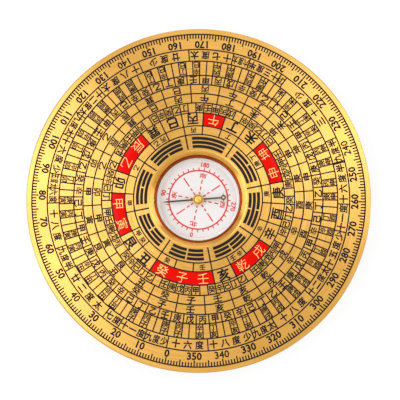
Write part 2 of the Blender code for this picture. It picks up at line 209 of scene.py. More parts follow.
# The red panels by dial angle of their middle, with the number of large signs that each covers
SIGN_SPAN = 15.0
PANELS = (
    ("north", 0.0, 3),
    ("east_northeast", 67.5, 2),
    ("east_southeast", 112.5, 2),
    ("south", 180.0, 1),
    ("west_southwest", 232.5, 2),
    ("northwest", 307.5, 2),
)

# The counting signs of the dial: twelve branches, ten stems in two fives, and 24 directions from north
BRANCHES = "子丑寅卯辰巳午未申酉戌亥"
YANG_STEMS = "甲丙戊庚壬"
YIN_STEMS = "乙丁己辛癸"
DIRECTIONS = "子癸丑艮寅甲卯乙辰巽巳丙午丁未坤申庚酉辛戌乾亥壬"
NUMERALS = " 一二三四五六七八九"

# The widths of the 28 uneven cells in old degrees, 365 and a quarter to the round
UNEVEN_CELLS = (
    9.25, 11, 7, 22.75, 9.5, 18, 6, 5.75, 16.25, 9.75, 12.75, 18.75, 20.25, 17.75,
    6.75, 13.5, 2.5, 30.25, 9.5, 0.5, 16.5, 11, 15.25, 12.75, 18, 9.75, 18.25, 16,
)
OLD_DEGREES = 365.25
FRACTIONS = {0.0: "", 0.25: "少", 0.5: "半", 0.75: "太"}

# Dial angles in degrees: where the uneven cells, the 60 cells and the signs of the 72 cells start
UNEVEN_START = 0.6
CELLS_60_START = 337.5
SIGNS_72_START = 350.0

# How far in degrees the signs of a pair stand from their middle, how far apart those of an uneven cell
# may be and how much of their room they fill, and how near a red panel's end a line is still drawn
PAIR_SIDE = 3.0
INNER_PAIR_SIDE = 3.35
SIGNS_APART = 4.6
SIGN_FILL_SHARE = 0.92
PANEL_MARGIN = 1.0

# In shares of a sign's size: how high the font's figures are, how high the middle of its signs lies, how
# close the points of an outline are merged, and how deep a sign is raised on trial
FIGURE_HEIGHT = 0.69
SIGN_MIDDLE = 0.38
SIGN_MERGE = 0.0002
TRIAL_DEPTH = 0.03

# How much a sign's strokes are thickened, in shares of its size: step by step, as long as the sign closes
# and grows as its outline asks. Copies of the sign a little apart make up for the rest.
COPY_STEP = 0.001 * MM
COPY_SHARE = 0.5
GROWTH_RANGE = (0.92, 1.12)
INK_WEIGHTS = (0.01, 0.02, 0.03, 0.04)
FIGURE_WEIGHTS = (0.015, 0.035)
RAISED_WEIGHTS = (-0.01,)


# Placing and joining

def on_dial(radius, angle):
    """The place at a radius and a dial angle."""
    turn = math.radians(angle)
    return Vector((-radius * math.sin(turn), -radius * math.cos(turn), 0))


def deselect():
    """Lets go of every object, before a new one is added."""
    bpy.ops.object.select_all(action="DESELECT")


def pick(pieces):
    """Selects these objects alone, the first of them active."""
    deselect()
    for piece in pieces:
        piece.select_set(True)
    bpy.context.view_layer.objects.active = pieces[0]


def apply_place(piece):
    """Moves an object's place, turn and size into its mesh."""
    pick([piece])
    bpy.ops.object.transform_apply(location=True, rotation=True, scale=True)


def edit_all(piece):
    """Opens a piece in edit mode with all of it selected."""
    pick([piece])
    bpy.ops.object.mode_set(mode="EDIT")
    bpy.ops.mesh.select_all(action="SELECT")


def close_edit():
    """Faces the whole mesh outwards and leaves edit mode."""
    bpy.ops.mesh.select_all(action="SELECT")
    bpy.ops.mesh.remove_doubles(threshold=MERGE_DISTANCE)
    bpy.ops.mesh.normals_make_consistent(inside=False)
    bpy.ops.object.mode_set(mode="OBJECT")


def copied(piece):
    """A copy of a piece with its own mesh."""
    copy = piece.copy()
    copy.data = piece.data.copy()
    bpy.context.collection.objects.link(copy)
    return copy


def joined(pieces):
    """These objects as one, its place in its mesh."""
    pick(pieces)
    if len(pieces) > 1:
        bpy.ops.object.join()
    piece = bpy.context.object
    apply_place(piece)
    return piece


def modified(piece, kind, **settings):
    """A piece with a modifier of that kind applied."""
    pick([piece])
    modifier = piece.modifiers.new(kind.lower(), kind)
    for name, value in settings.items():
        setattr(modifier, name, value)
    bpy.ops.object.modifier_apply(modifier=modifier.name)
    return piece


def hand_over(piece, name, finish, stands_for=(), body="compass"):
    """Names a finished piece, shades it, gives it its finish and lets it ride on its body."""
    pick([piece])
    bpy.ops.object.shade_smooth_by_angle(angle=math.radians(SMOOTH_ANGLE))
    piece.name = name
    piece.data.name = name
    piece.data.materials.clear()
    piece.data.materials.append(finish)
    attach(piece, body)
    if stands_for:
        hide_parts(*stands_for)


# Shapes

def turned(profile, segments):
    """A piece turned on a lathe. The profile's first and last points are capped, or meet in a ring."""
    radius, height = profile[0]
    deselect()
    bpy.ops.mesh.primitive_circle_add(vertices=segments, radius=radius, location=(0, 0, height))
    piece = bpy.context.object
    apply_place(piece)
    edit_all(piece)
    for next_radius, next_height in profile[1:]:
        lift = (0, 0, next_height - height)
        bpy.ops.mesh.extrude_edges_move(TRANSFORM_OT_translate={"value": lift})
        share = next_radius / radius
        bpy.ops.transform.resize(value=(share, share, 1), center_override=(0, 0, 0))
        radius, height = next_radius, next_height
    bpy.ops.mesh.select_all(action="SELECT")
    bpy.ops.mesh.remove_doubles(threshold=MERGE_DISTANCE)
    if profile[0] != profile[-1]:
        bpy.ops.mesh.select_all(action="DESELECT")
        bpy.ops.mesh.select_non_manifold()
        bpy.ops.mesh.edge_face_add()
    close_edit()
    return piece


def turned_ring(middle, width, bottom, top, floor_share=1.0):
    """A thin ring round the axis, narrower at its foot by a share, as paint lies in a groove."""
    half = width / 2
    foot = half * floor_share
    loop = [
        (middle - foot, bottom),
        (middle + foot, bottom),
        (middle + half, top),
        (middle - half, top),
        (middle - foot, bottom),
    ]
    return turned(loop, PLATE_SEGMENTS)


def arc_block(inner, outer, start, end, bottom, top):
    """A closed block that follows the dial: an upright face at the start, spun about the axis."""
    deselect()
    bpy.ops.mesh.primitive_plane_add(size=1)
    piece = bpy.context.object
    edit_all(piece)
    bpy.ops.transform.rotate(value=math.pi / 2, orient_axis="X", center_override=(0, 0, 0))
    bpy.ops.transform.resize(value=(outer - inner, 1, top - bottom), center_override=(0, 0, 0))
    bpy.ops.transform.translate(value=((outer + inner) / 2, 0, (top + bottom) / 2))
    steps = max(1, round((end - start) / ARC_STEP))
    bpy.ops.mesh.spin(steps=steps, angle=math.radians(end - start), center=(0, 0, 0), axis=(0, 0, 1))
    close_edit()
    piece.rotation_euler = (0, 0, math.radians(-90 - start))
    apply_place(piece)
    return piece


def flat_bar():
    """A flat square of one unit, the template of every tick and dividing line."""
    deselect()
    bpy.ops.mesh.primitive_plane_add(size=1)
    return bpy.context.object


def raise_flat(piece, depth):
    """Makes flat shapes into closed bodies that reach down by a depth."""
    edit_all(piece)
    drop = {"value": (0, 0, -depth)}
    bpy.ops.mesh.extrude_region_move(TRANSFORM_OT_translate=drop)
    close_edit()


def flat_sign(text, weight):
    """A sign as a flat mesh one unit high, its strokes thickened by a weight."""
    deselect()
    bpy.ops.object.text_add()
    sign = bpy.context.object
    sign.data.body = text
    sign.data.align_x = "CENTER"
    sign.data.resolution_u = 2
    sign.data.offset = weight
    bpy.ops.object.convert(target="MESH")
    sign = bpy.context.object
    edit_all(sign)
    bpy.ops.mesh.remove_doubles(threshold=SIGN_MERGE)
    bpy.ops.mesh.delete_loose()
    bpy.ops.object.mode_set(mode="OBJECT")
    return sign


def closes(sign):
    """Whether a flat sign, once it is raised, has no edge with one face only."""
    trial = copied(sign)
    raise_flat(trial, TRIAL_DEPTH)
    pick([trial])
    bpy.ops.object.mode_set(mode="EDIT")
    bpy.ops.mesh.select_all(action="DESELECT")
    bpy.ops.mesh.select_non_manifold(extend=False, use_boundary=True, use_multi_face=False)
    bpy.ops.object.mode_set(mode="OBJECT")
    whole = not any(edge.select for edge in trial.data.edges)
    bpy.data.objects.remove(trial)
    return whole


def area_and_outline(sign):
    """The area of a flat sign and the length of its outline."""
    uses = {}
    for face in sign.data.polygons:
        for key in face.edge_keys:
            uses[key] = uses.get(key, 0) + 1
    corners = sign.data.vertices
    edges = [corners[a].co - corners[b].co for (a, b), count in uses.items() if count == 1]
    return sum(face.area for face in sign.data.polygons), sum(edge.length for edge in edges)


templates = {}


def sign_template(text, weights):
    """The flat sign of a text, as heavy as it can be with its counters open, and the thickness that it
    still lacks. It is made once, its middle at the origin."""
    key = (text, weights)
    if key not in templates:
        sign = flat_sign(text, 0.0)
        area, outline = area_and_outline(sign)
        reached = 0.0
        for weight in weights:
            heavier = flat_sign(text, weight)
            growth = (area_and_outline(heavier)[0] - area) / (weight * outline)
            if not (GROWTH_RANGE[0] < growth < GROWTH_RANGE[1] and closes(heavier)):
                bpy.data.objects.remove(heavier)
                break
            bpy.data.objects.remove(sign)
            sign = heavier
            reached = weight
        xs = [corner[0] for corner in sign.bound_box]
        middle = FIGURE_HEIGHT / 2 if text.isdigit() else SIGN_MIDDLE
        sign.data.transform(Matrix.Translation((-(min(xs) + max(xs)) / 2, -middle, 0)))
        templates[key] = (sign, max(0.0, weights[-1] - reached))
    return templates[key]


def stamp(template, across, along, radius, angle, turn=0.0, aside=(0, 0, 0)):
    """A copy of a flat template at a place of the dial, facing the middle and set a little aside."""
    copy = copied(template)
    copy.scale = (across, along, 1)
    copy.rotation_euler = (0, 0, math.radians(turn - angle))
    copy.location = on_dial(radius, angle) + Vector(aside)
    return copy


def painted(stamps, name, finish, top, depth=PAINT_DEPTH):
    """The stamps as one piece of paint whose top is at a height."""
    piece = joined(stamps)
    piece.location = (0, 0, top)
    apply_place(piece)
    raise_flat(piece, depth)
    hand_over(piece, name, finish)


# Materials

# The range that most of a noise's values lie in
NOISE_RANGE = (0.35, 0.65)

# The hub's corner of tarnish and painted shade: the radii between which its brown starts, and between
# which it ends
TARNISH_AND_SHADE_STARTS = (0.84 * MM, 1.0 * MM)
TARNISH_AND_SHADE_ENDS = (1.12 * MM, 1.22 * MM)

# How far along the needle its heat colours reach, from the pin towards its tail and its point
HEAT_TAIL = -6.0 * MM
HEAT_POINT = 9.0 * MM


def linear(colour):
    """An sRGB hex colour as linear red, green, blue and alpha."""
    parts = [int(colour[k : k + 2], 16) / 255 for k in (1, 3, 5)]
    return (*[c / 12.92 if c <= 0.04045 else ((c + 0.055) / 1.055) ** 2.4 for c in parts], 1.0)


def add_node(tree, kind, sockets=None, **settings):
    """Adds a shader node of a kind with its settings, and gives each socket its value, or a link from
    another node's output."""
    node = tree.nodes.new("ShaderNode" + kind)
    for name, value in settings.items():
        setattr(node, name, value)
    for socket, value in (sockets or {}).items():
        if isinstance(value, bpy.types.NodeSocket):
            tree.links.new(value, node.inputs[socket])
        else:
            node.inputs[socket].default_value = value
    return node.outputs


def new_finish(name, surface, *details):
    """A material from one of the functions below, which gives a shader, or the colours and values that
    the usual shader takes."""
    made = bpy.data.materials.new(name)
    made.use_nodes = True
    tree = made.node_tree
    tree.nodes.clear()
    shader = surface(tree, *details)
    if isinstance(shader, dict):
        shader = add_node(tree, "BsdfPrincipled", shader)[0]
    add_node(tree, "OutputMaterial", {"Surface": shader})
    return made


def two_tones(tree, noise, first, second, most=1.0):
    """How far a noise goes from a first tone towards a second, at most a share of the way, and the
    colour that this gives."""
    low, high = NOISE_RANGE
    reach = {"Value": noise, "From Min": low, "From Max": high, "To Max": most}
    share = add_node(tree, "MapRange", reach)[0]
    start = linear(first) if isinstance(first, str) else first
    colour = add_node(tree, "Mix", {0: share, 6: start, 7: linear(second)}, data_type="RGBA")[2]
    return share, colour


def grains(tree, size, detail=3.0):
    """A noise with grains of a size, fixed to the piece."""
    place = add_node(tree, "TexCoord")["Object"]
    return add_node(tree, "TexNoise", {"Vector": place, "Scale": 1 / size, "Detail": detail})[0]


def about_axis(tree):
    """A point's height on the piece, its place without the height, and its distance from the axis."""
    place = add_node(tree, "TexCoord")["Object"]
    height = add_node(tree, "SeparateXYZ", {0: place})["Z"]
    flat = add_node(tree, "VectorMath", {0: place, 1: (1, 1, 0)}, operation="MULTIPLY")[0]
    radius = add_node(tree, "VectorMath", {0: flat}, operation="LENGTH")["Value"]
    return height, flat, radius


def turning_marks(tree, spacing, length):
    """Noise drawn out round the axis, as a lathe tool or a polishing wheel leaves it.
    The spacing is from line to line, and the length is how far a line runs at the plate's edge."""
    height, flat, radius = about_axis(tree)
    out = add_node(tree, "Math", {0: radius, 1: height}, operation="ADD")[0]
    pitch = {0: (0, 0, 1 / spacing), "Scale": out}
    across = add_node(tree, "VectorMath", pitch, operation="SCALE")[0]
    way = add_node(tree, "VectorMath", {0: flat}, operation="NORMALIZE")[0]
    run = {0: way, "Scale": PLATE_RADIUS / length}
    around = add_node(tree, "VectorMath", run, operation="SCALE")[0]
    where = add_node(tree, "VectorMath", {0: across, 1: around}, operation="ADD")[0]
    return add_node(tree, "TexNoise", {"Vector": where, "Scale": 1.0, "Detail": 4.0})[0]


def turned_brass(tree, dark, light, roughness, anisotropy):
    """Brass faced on a lathe and lacquered. Its fine lines run round the axis, so each lamp is drawn
    out into a bright sector, and between the sectors the metal is a deep yellow. The tool's lines are
    about 0.1 mm apart and are drawn at 0.35 mm, so that they show. Soft clouds of 12 mm are where the
    lacquer lies thicker."""
    lines = turning_marks(tree, 0.35 * MM, 9 * MM)
    line, metal = two_tones(tree, lines, dark, light)
    tinted = two_tones(tree, grains(tree, 12 * MM), metal, light, 0.3)[1]
    gloss = add_node(tree, "Math", {0: line, 1: 0.08, 2: roughness}, operation="MULTIPLY_ADD")[0]
    tangent = add_node(tree, "Tangent", direction_type="RADIAL", axis="Z")[0]
    ridges = add_node(tree, "Bump", {"Height": lines, "Distance": 0.001 * MM, "Strength": 1.0})[0]
    return {
        "Base Color": tinted,
        "Metallic": 1.0,
        "Roughness": gloss,
        "Anisotropic": anisotropy,
        "Anisotropic Rotation": 0.25,
        "Tangent": tangent,
        "Normal": ridges,
    }


def polished_brass(tree):
    """The hub's brass, turned on a small lathe and buffed. It mirrors the room in a warm yellow. In the
    corner between crown and brim the metal is painted brown: partly tarnish where the buff doesn't reach,
    and partly painted shade that stands in for the dark reflection in that corner. The buff's lines are
    finer than 0.05 mm and are drawn at 0.12 mm."""
    lines = turning_marks(tree, 0.12 * MM, 30 * MM)
    metal = two_tones(tree, lines, "#E2A840", "#EDB84C")[1]
    radius = about_axis(tree)[2]
    start, full = TARNISH_AND_SHADE_STARTS
    inside = {"Value": radius, "From Min": start, "From Max": full}
    inner = add_node(tree, "MapRange", inside, interpolation_type="SMOOTHSTEP")[0]
    fade, end = TARNISH_AND_SHADE_ENDS
    outside = {"Value": radius, "From Min": fade, "From Max": end, "To Min": 0.8, "To Max": 0.0}
    outer = add_node(tree, "MapRange", outside, interpolation_type="SMOOTHSTEP")[0]
    # painted shade: a brown ring in the corner between crown and brim, partly tarnish and partly standing
    # in for the dark reflection there
    corner = add_node(tree, "Math", {0: inner, 1: outer}, operation="MULTIPLY")[0]
    brown = {0: corner, 6: metal, 7: linear("#BE8632")}
    tarnished_and_shaded = add_node(tree, "Mix", brown, data_type="RGBA")[2]
    gloss = add_node(tree, "MapRange", {"Value": corner, "To Min": 0.3, "To Max": 0.4})[0]
    ridges = add_node(tree, "Bump", {"Height": lines, "Distance": 0.0003 * MM, "Strength": 1.0})[0]
    return {"Base Color": tarnished_and_shaded, "Metallic": 1.0, "Roughness": gloss, "Normal": ridges}


def fired_enamel(tree, dark, light, roughness, specular):
    """Glass enamel fired into a pocket: one strong even colour, and a gloss with the soft orange peel
    of half a millimetre that melting leaves."""
    peel = grains(tree, 0.5 * MM, 2.0)
    glass = two_tones(tree, grains(tree, 4 * MM), dark, light)[1]
    reach = {"Value": peel, "To Min": roughness - 0.05, "To Max": roughness + 0.05}
    gloss = add_node(tree, "MapRange", reach)[0]
    dimples = add_node(tree, "Bump", {"Height": peel, "Distance": 0.002 * MM, "Strength": 1.0})[0]
    return {"Base Color": glass, "Roughness": gloss, "Specular IOR Level": specular, "Normal": dimples}


def screen_ink(tree, dark, light, roughness, specular):
    """Ink printed through a screen: a dry surface that stays dark in the light. Its cover is uneven by
    the screen's threads of 0.1 mm, drawn at 0.6 mm."""
    ink = two_tones(tree, grains(tree, 0.6 * MM), dark, light)[1]
    return {"Base Color": ink, "Roughness": roughness, "Specular IOR Level": specular}


def white_lacquer(tree):
    """The cup's sprayed white lacquer: a smooth warm white, softly glossy, with a spray gun's faint
    orange peel of 0.7 mm."""
    peel = grains(tree, 0.7 * MM, 2.0)
    white = two_tones(tree, grains(tree, 5 * MM), "#F8EEE5", "#FBF2EA")[1]
    dimples = add_node(tree, "Bump", {"Height": peel, "Distance": 0.002 * MM, "Strength": 1.0})[0]
    return {"Base Color": white, "Roughness": 0.28, "Normal": dimples}


def coated_card(tree):
    """The dial's coated card: a matt white that the red print stands out from. Its fibres are 0.02 mm
    wide and are drawn at 0.25 mm, as a faint fleck."""
    fibre = grains(tree, 0.25 * MM, 5.0)
    tone = two_tones(tree, grains(tree, 6 * MM), "#F3E7DE", "#F5EBE2")[1]
    paper = two_tones(tree, fibre, tone, "#ECE0D6", 0.4)[1]
    nap = add_node(tree, "Bump", {"Height": fibre, "Distance": 0.003 * MM, "Strength": 1.0})[0]
    return {"Base Color": paper, "Roughness": 0.5, "Specular IOR Level": 0.3, "Normal": nap}


def nitrile_rubber(tree):
    """The gasket's moulded rubber: a dull dark red line under the crystal's edge, with the mould's
    grit of 0.1 mm."""
    grit = {0: grains(tree, 0.1 * MM), 6: linear("#84341E"), 7: linear("#984228")}
    rubber = add_node(tree, "Mix", grit, data_type="RGBA")[2]
    return {"Base Color": rubber, "Roughness": 0.7, "Specular IOR Level": 0.3}


def mineral_glass(tree):
    """The crystal's ground and polished glass: clear, so that the card shows, with a faint reflection
    by the Fresnel of its front. Its polish varies in patches of 2 mm."""
    fresnel = add_node(tree, "Fresnel", {"IOR": 1.45})[0]
    inner_side = add_node(tree, "NewGeometry")["Backfacing"]
    front = add_node(tree, "Math", {0: 1.0, 1: inner_side}, operation="SUBTRACT")[0]
    shine = add_node(tree, "Math", {0: fresnel, 1: front}, operation="MULTIPLY")[0]
    polish = {"Value": grains(tree, 2 * MM), "To Min": 0.01, "To Max": 0.05}
    gloss = add_node(tree, "MapRange", polish)[0]
    mirror = add_node(tree, "BsdfGlossy", {"Color": linear("#FFFFFF"), "Roughness": gloss})[0]
    clear = add_node(tree, "BsdfTransparent", {"Color": linear("#FCFDFD")})[0]
    return add_node(tree, "MixShader", {0: shine, 1: clear, 2: mirror})[0]


def lacquered_copper(tree):
    """Drawn copper wire in a clear red lacquer: bright orange where it faces the light, and dark red
    where it turns away. The die's lines run along the wire, 0.1 mm apart."""
    line, copper = two_tones(tree, turning_marks(tree, 0.1 * MM, 20 * MM), "#862603", "#A03E06")
    gloss = add_node(tree, "MapRange", {"Value": line, "To Min": 0.12, "To Max": 0.2})[0]
    return {
        "Base Color": copper,
        "Metallic": 1.0,
        "Roughness": gloss,
        "Coat Weight": 0.03,
        "Coat Roughness": 0.15,
    }


def ground_steel(tree):
    """The pin's hardened and ground steel: bright grey, with round lines of 0.05 mm from the stone."""
    line, steel = two_tones(tree, turning_marks(tree, 0.05 * MM, 20 * MM), "#B4B4B8", "#CBCBCF")
    gloss = add_node(tree, "MapRange", {"Value": line, "To Min": 0.18, "To Max": 0.28})[0]
    return {"Base Color": steel, "Metallic": 1.0, "Roughness": gloss}


def bronzed_steel(tree):
    """The needle's spring steel, oiled and heated to a dark bronze that grows darker from its tail to
    its point. The scale of the heating has flecks of 0.2 mm, drawn at 0.5 mm."""
    flecks = grains(tree, 0.5 * MM)
    fleck, bronze = two_tones(tree, flecks, "#4E3418", "#5C4020")
    place = add_node(tree, "TexCoord")["Object"]
    length = {0: place, 1: on_dial(1.0, NEEDLE_DIAL_ANGLE)}
    along = add_node(tree, "VectorMath", length, operation="DOT_PRODUCT")["Value"]
    reach = {"Value": along, "From Min": HEAT_TAIL, "From Max": HEAT_POINT}
    heat = add_node(tree, "MapRange", reach)[0]
    steel = add_node(tree, "Mix", {0: heat, 6: bronze, 7: linear("#3A2C1E")}, data_type="RGBA")[2]
    gloss = add_node(tree, "MapRange", {"Value": fleck, "To Min": 0.3, "To Max": 0.42})[0]
    pits = add_node(tree, "Bump", {"Height": flecks, "Distance": 0.001 * MM, "Strength": 1.0})[0]
    return {"Base Color": steel, "Metallic": 1.0, "Roughness": gloss, "Normal": pits}


def agate(tree):
    """The bearing's agate: a brown stone with bands of 0.2 mm, ground and polished to a gloss."""
    stone = two_tones(tree, grains(tree, 0.2 * MM, 1.0), "#7A3020", "#B4694A")[1]
    return {"Base Color": stone, "Roughness": 0.1}


FACE_BRASS = new_finish("lacquered_turned_brass", turned_brass, "#D29B42", "#DAA552", 0.26, 0.8)
RAISED_BRASS = new_finish("raised_brass_signs", turned_brass, "#CAAF5D", "#D9C273", 0.4, 0.2)
BUFFED_BRASS = new_finish("buffed_brass", polished_brass)
RED_ENAMEL = new_finish("red_fired_enamel", fired_enamel, "#D60600", "#E00E02", 0.3, 0.05)
BLACK_ENAMEL = new_finish("black_fired_enamel", fired_enamel, "#120D0E", "#1A1214", 0.35, 0.15)
BLACK_INK = new_finish("black_screen_ink", screen_ink, "#101219", "#1A1A20", 0.6, 0.08)
RED_INK = new_finish("red_screen_ink", screen_ink, "#E42804", "#EE380C", 0.5, 0.1)
WHITE_LACQUER = new_finish("sprayed_white_lacquer", white_lacquer)
COATED_CARD = new_finish("coated_card", coated_card)
RUBBER = new_finish("nitrile_rubber", nitrile_rubber)
GLASS = new_finish("mineral_glass", mineral_glass)
COPPER = new_finish("lacquered_copper_wire", lacquered_copper)
STEEL = new_finish("ground_steel", ground_steel)
BRONZE = new_finish("bronzed_spring_steel", bronzed_steel)
AGATE = new_finish("polished_agate", agate)


# Plate with its enamel

def trigram_bars():
    """(node name, trigram, inner radius, outer radius, start, end) of each bar of the eight trigrams."""
    bars = []
    for direction, middle, lines in TRIGRAMS:
        for k, (line, whole) in enumerate(zip(LINE_NAMES, lines)):
            inner = BARS_INNER + (2 - k) * (BAR_WIDTH + BAR_SPACING)
            outer = inner + BAR_WIDTH
            low, high = middle - BAR_HALF_SPAN, middle + BAR_HALF_SPAN
            name = f"trigram_{direction}_{line}"
            if whole:
                bars.append((name, direction, inner, outer, low, high))
                continue
            half_break = math.degrees(BAR_BREAK / (inner + outer))
            bars.append((name + "_first", direction, inner, outer, low, middle - half_break))
            bars.append((name + "_second", direction, inner, outer, middle + half_break, high))
    return bars


def panel_areas():
    """(node name, inner radius, outer radius, start, end) of each red panel."""
    areas = []
    for direction, middle, count in PANELS:
        half_span = SIGN_SPAN / 2 * count
        name = f"red_panel_{direction}"
        areas.append((name, PANEL_INNER, PANEL_OUTER, middle - half_span, middle + half_span))
    return areas


def on_panel(angle):
    """Whether a dial angle lies on a red panel, well inside its ends."""
    for _, middle, count in PANELS:
        away = abs((angle - middle + 180) % 360 - 180)
        if away < SIGN_SPAN / 2 * count - PANEL_MARGIN:
            return True
    return False


def lip_profile():
    """The bevel round the bore, which rounds over into the face."""
    return [
        (LIP_INNER + (LIP_RADIUS - LIP_INNER) * out, LIP_BOTTOM + (PLATE_TOP - LIP_BOTTOM) * up)
        for out, up in LIP_SHARES
    ]


def face_profile():
    """The engraved face from the trigrams outwards."""
    half = LINE_WIDTH / 2
    points = []
    for radius in LINE_CIRCLES:
        radius *= MM
        points.append((radius - half, PLATE_TOP))
        points.append((radius - half * LINE_FLOOR_SHARE, PLATE_TOP - LINE_DEPTH))
        points.append((radius + half * LINE_FLOOR_SHARE, PLATE_TOP - LINE_DEPTH))
        points.append((radius + half, PLATE_TOP))
    return points


def edge_profile():
    """The chamfer between the face and the rim, its two corners eased."""
    return [
        (PLATE_RADIUS - EDGE_CHAMFER * back, PLATE_TOP - EDGE_CHAMFER * down)
        for back, down in CHAMFER_SHARES
    ]


def make_plate(bars, panels):
    """The brass disc: a blind bore with a wire groove, a bevelled lip, engraved circles and pockets."""
    profile = [
        (BORE_RADIUS, BORE_FLOOR),
        (BORE_RADIUS, GROOVE_BOTTOM),
        (GROOVE_RADIUS, GROOVE_BOTTOM),
        (GROOVE_RADIUS, GROOVE_TOP),
        (LIP_INNER, GROOVE_TOP),
        *lip_profile(),
        *face_profile(),
        *edge_profile(),
        (PLATE_RADIUS, FOOT_CHAMFER),
        (PLATE_RADIUS - FOOT_CHAMFER, 0.0),
    ]
    plate = turned(profile, PLATE_SEGMENTS)
    blocks = [
        arc_block(inner, outer, start, end, PLATE_TOP - POCKET_DEPTH, PLATE_TOP + POCKET_DEPTH)
        for *_, inner, outer, start, end in [*bars, *panels]
    ]
    cutter = joined(blocks)
    modified(plate, "BOOLEAN", operation="DIFFERENCE", solver="EXACT", object=cutter)
    bpy.data.objects.remove(cutter)
    hand_over(plate, "engraved_plate", FACE_BRASS, ["dial_plate"])


def enamel(area, sink):
    """One body of enamel a seat gap inside its pocket, its edges drawn round by the firing."""
    inner, outer, start, end = area
    side = math.degrees(SEAT_GAP / inner)
    block = arc_block(
        inner + SEAT_GAP,
        outer - SEAT_GAP,
        start + side,
        end - side,
        PLATE_TOP - POCKET_DEPTH + SEAT_GAP,
        PLATE_TOP - sink,
    )
    return modified(block, "BEVEL", width=ENAMEL_ROUND, segments=2, limit_method="ANGLE")


def make_enamel(bars, panels):
    """The black bars, one piece to a trigram, and the red panels."""
    for direction, _, _ in TRIGRAMS:
        own = [bar for bar in bars if bar[1] == direction]
        piece = joined([enamel(bar[2:], 0.0) for bar in own])
        names = [bar[0] for bar in own]
        hand_over(piece, f"enamel_trigram_{direction}", BLACK_ENAMEL, names)
    for name, *area in panels:
        piece = enamel(area, PANEL_SINK)
        hand_over(piece, f"enamel_{name}", RED_ENAMEL, [name])


# Painted marks

def mark_stamps(places):
    """The stamps of straight marks: (inner radius, outer radius, width, dial angle) of each, in
    millimetres."""
    bar = flat_bar()
    stamps = [
        stamp(bar, width * MM, (outer - inner) * MM, (outer + inner) / 2 * MM, angle)
        for inner, outer, width, angle in places
    ]
    bpy.data.objects.remove(bar)
    return stamps


def sign_stamps(places, weights=INK_WEIGHTS, turn=0.0):
    """The stamps of signs: (text, width, height, radius, dial angle) of each, in millimetres."""
    stamps = []
    for text, width, height, radius, angle in places:
        numeric = text.isdigit()
        em = 1 / FIGURE_HEIGHT if numeric else 1.0
        template, lack = sign_template(text, FIGURE_WEIGHTS if numeric else weights)
        across, along = width * em * MM, height * em * MM
        spread = lack * COPY_SHARE
        corners = ((-1, -1), (-1, 1), (1, -1), (1, 1)) if spread else ((0, 0),)
        for k, (right, up) in enumerate(corners):
            aside = (right * spread * across, up * spread * along, k * COPY_STEP)
            stamps.append(stamp(template, across, along, radius * MM, angle, turn, aside))
    return stamps


def black_marks(places, name):
    """Straight marks in black ink on the brass."""
    painted(mark_stamps(places), name, BLACK_INK, PLATE_TOP + PAINT_RISE)


def black_signs(places, name):
    """Signs in black ink on the brass."""
    painted(sign_stamps(places), name, BLACK_INK, PLATE_TOP + PAINT_RISE)


def red_print(stamps, name):
    """The stamps in red ink on the card."""
    painted(stamps, name, RED_INK, CARD_TOP + PAINT_RISE, PRINT_DEPTH)


def cell_edges(inner, outer, count, first=None):
    """The lines between the equal cells of a ring, from a first dial angle, or from half a cell."""
    span = 360 / count
    start = span / 2 if first is None else first
    return [(inner, outer, DIVIDER_WIDTH, start + span * k) for k in range(count)]


def fill_lines():
    """The paint in the engraved circles, and the two printed circles along the red panels."""
    fill_share = 1 - (1 - LINE_FLOOR_SHARE) * LINE_FILL_SINK / LINE_DEPTH
    rings = []
    for radius in LINE_CIRCLES:
        bottom, top = PLATE_TOP - LINE_DEPTH, PLATE_TOP - LINE_FILL_SINK
        rings.append(
            turned_ring(radius * MM, LINE_WIDTH * fill_share, bottom, top, LINE_FLOOR_SHARE / fill_share)
        )
    for radius in PRINTED_CIRCLES:
        bottom, top = PLATE_TOP - PAINT_DEPTH, PLATE_TOP + PAINT_RISE
        rings.append(turned_ring(radius * MM, LINE_WIDTH * PRINTED_WIDTH_SHARE, bottom, top))
    hand_over(joined(rings), "painted_circles", BLACK_INK)


def degree_scale():
    """360 ticks inside the outer circle, every fifth one longer, and a figure every ten degrees."""
    ticks = []
    for degree in range(360):
        inner = SHORT_TICK_START if degree % 5 else LONG_TICK_START
        ticks.append((inner, SCALE_OUT, TICK_WIDTH, degree))
    black_marks(ticks, "degree_ticks")
    figures = [(str(degree), *DEGREE_FIGURE, degree) for degree in range(0, 360, 10)]
    black_signs(figures, "degree_figures")


def numeral(number):
    """A whole number under a hundred in Chinese numerals."""
    tens, ones = divmod(int(number), 10)
    head = {0: "", 1: "十", 2: "廿"}.get(tens, NUMERALS[tens] + "十")
    return head + (NUMERALS[ones] if ones else "")


def uneven_ring():
    """The 28 uneven cells, each with its width written out in old degrees."""
    widest, height, radius = UNEVEN_SIGN
    places = []
    edges = []
    start = UNEVEN_START
    for width in UNEVEN_CELLS:
        span = width * 360 / OLD_DEGREES
        edges.append((PAIRS_OUT, UNEVEN_OUT, DIVIDER_WIDTH, start))
        whole, part = divmod(width, 1)
        text = numeral(whole) + "度" + FRACTIONS[part] if whole else ""
        room = span / max(len(text), 1)
        wide = min(widest, SIGN_FILL_SHARE * math.radians(room) * radius)
        apart = min(room, SIGNS_APART)
        for k, sign in enumerate(text):
            angle = start + span / 2 + apart * ((len(text) - 1) / 2 - k)
            places.append((sign, wide, height, radius, angle))
        start += span
    black_marks(edges, "uneven_dividers")
    black_signs(places, "uneven_signs")


def stem_count():
    """The ten stems in their groups of five, yang and yin in turn, each pair one place further on."""
    count = ""
    for k in range(6):
        for stems in (YANG_STEMS, YIN_STEMS):
            shift = k % 5
            count += stems[shift:] + stems[:shift]
    return count


